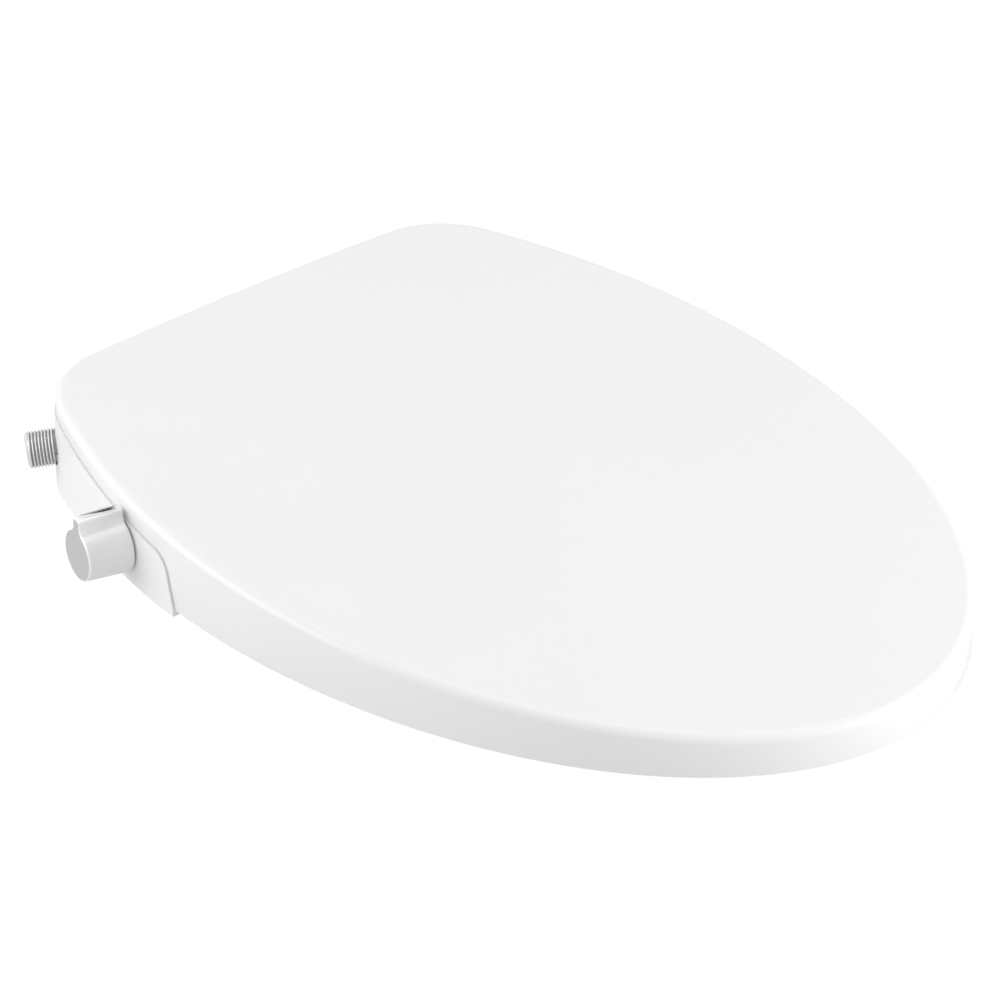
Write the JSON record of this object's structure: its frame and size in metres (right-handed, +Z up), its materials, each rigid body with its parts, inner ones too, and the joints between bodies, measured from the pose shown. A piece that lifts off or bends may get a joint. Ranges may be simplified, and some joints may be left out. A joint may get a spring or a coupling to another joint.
{
  "type": "bidet seat",
  "caption": "Slim bidet toilet seat with soft-close lid and ring, hand valve knob, threaded water inlet and sliding wash wands under a low housing.",
  "frame": {"origin": "on the bowl's top face, midway between the two fixing bolts, at the underside of the mounting plate", "axes": "+Z up, +Y towards the rear edge, -Y towards the nose of the seat, -X on the side of the valve knob and the water inlet"},
  "size_m": [0.4072, 0.5176, 0.0578],
  "materials": {
    "white_gloss": "smooth white moulded polypropylene, soft gloss",
    "white_satin": "white moulded plastic, satin, on hidden pieces",
    "rubber": "pale grey rubber, matt",
    "steel": "plain stainless steel",
    "grey_plastic": "grey moulded nylon",
    "knob_silver": "satin silver plating",
    "knob_face": "flat satin grey face, finely turned",
    "nickel": "bright nickel on brass",
    "hose": "translucent white tube"
  },
  "bodies": {
    "base": {"base_cover": "white_gloss", "base_pan": "white_satin", "mounting_plate": "grey_plastic", "slot_block_left": "grey_plastic", "slot_block_right": "grey_plastic", "base_foot_front_left": "rubber", "base_foot_front_right": "rubber", "base_foot_rear_left": "rubber", "base_foot_rear_right": "rubber", "pan_screw_1_left": "steel", "pan_screw_1_right": "steel", "pan_screw_2_left": "steel", "pan_screw_2_right": "steel", "pan_screw_3_left": "steel", "pan_screw_3_right": "steel", "hinge_pin_left": "steel", "hinge_pin_right": "steel", "hinge_damper_left": "grey_plastic", "hinge_damper_right": "grey_plastic", "valve_body": "grey_plastic", "inlet_nipple": "nickel", "inlet_screen": "steel", "wand_cradle": "white_satin", "rear_wand_spring": "steel", "front_wand_spring": "steel", "supply_hose": "hose", "rear_wash_hose": "hose", "front_wash_hose": "hose", "release_guide": "grey_plastic", "release_spring": "steel"},
    "seat": {"seat_ring": "white_gloss", "seat_underside": "white_satin", "seat_bumper_front_left": "rubber", "seat_bumper_front_right": "rubber", "seat_bumper_rear_left": "rubber", "seat_bumper_rear_right": "rubber"},
    "lid": {"lid_shell": "white_gloss", "lid_pad_front_left": "rubber", "lid_pad_front_right": "rubber", "lid_pad_rear_left": "rubber", "lid_pad_rear_right": "rubber"},
    "knob": {"knob_body": "knob_silver", "knob_cap": "knob_face", "knob_screw": "steel", "valve_spindle": "steel"},
    "rear_wand": {"rear_wand": "white_satin", "rear_wand_tip": "white_gloss"},
    "front_wand": {"front_wand": "white_satin", "front_wand_tip": "white_gloss"},
    "gate": {"wand_gate": "white_satin"},
    "button": {"release_button": "white_gloss"}
  },
  "joints": [
    {"name": "seat_hinge", "type": "hinge", "parent": "base", "child": "seat", "pos_m": [0, 0.041, 0.044], "axis": [-1, 0, 0], "range_deg": [0, 92]},
    {"name": "lid_hinge", "type": "hinge", "parent": "seat", "child": "lid", "pos_m": [0, 0.041, 0.044], "axis": [-1, 0, 0], "range_deg": [0, 100]},
    {"name": "knob_turn", "type": "hinge", "parent": "base", "child": "knob", "pos_m": [-0.184, -0.0708, 0.0217], "axis": [-0.9798, 0.2, 0], "range_deg": [-90, 90]},
    {"name": "rear_wand_slide", "type": "slide", "parent": "base", "child": "rear_wand", "axis": [0, -0.9781, -0.2079], "range_m": [0, 0.045], "stiffness_N_per_m": 40, "springref_m": -0.01, "deforming": ["rear_wand_spring"]},
    {"name": "front_wand_slide", "type": "slide", "parent": "base", "child": "front_wand", "axis": [0, -0.9781, -0.2079], "range_m": [0, 0.045], "stiffness_N_per_m": 40, "springref_m": -0.01, "deforming": ["front_wand_spring"]},
    {"name": "gate_hinge", "type": "hinge", "parent": "base", "child": "gate", "pos_m": [0, -0.077, 0.0315], "axis": [-1, 0, 0], "range_deg": [0, 70]},
    {"name": "release_press", "type": "slide", "parent": "base", "child": "button", "axis": [-0.9532, -0.3023, 0], "range_m": [0, 0.0035], "stiffness_N_per_m": 300, "springref_m": -0.002, "deforming": ["release_spring"]}
  ]
}
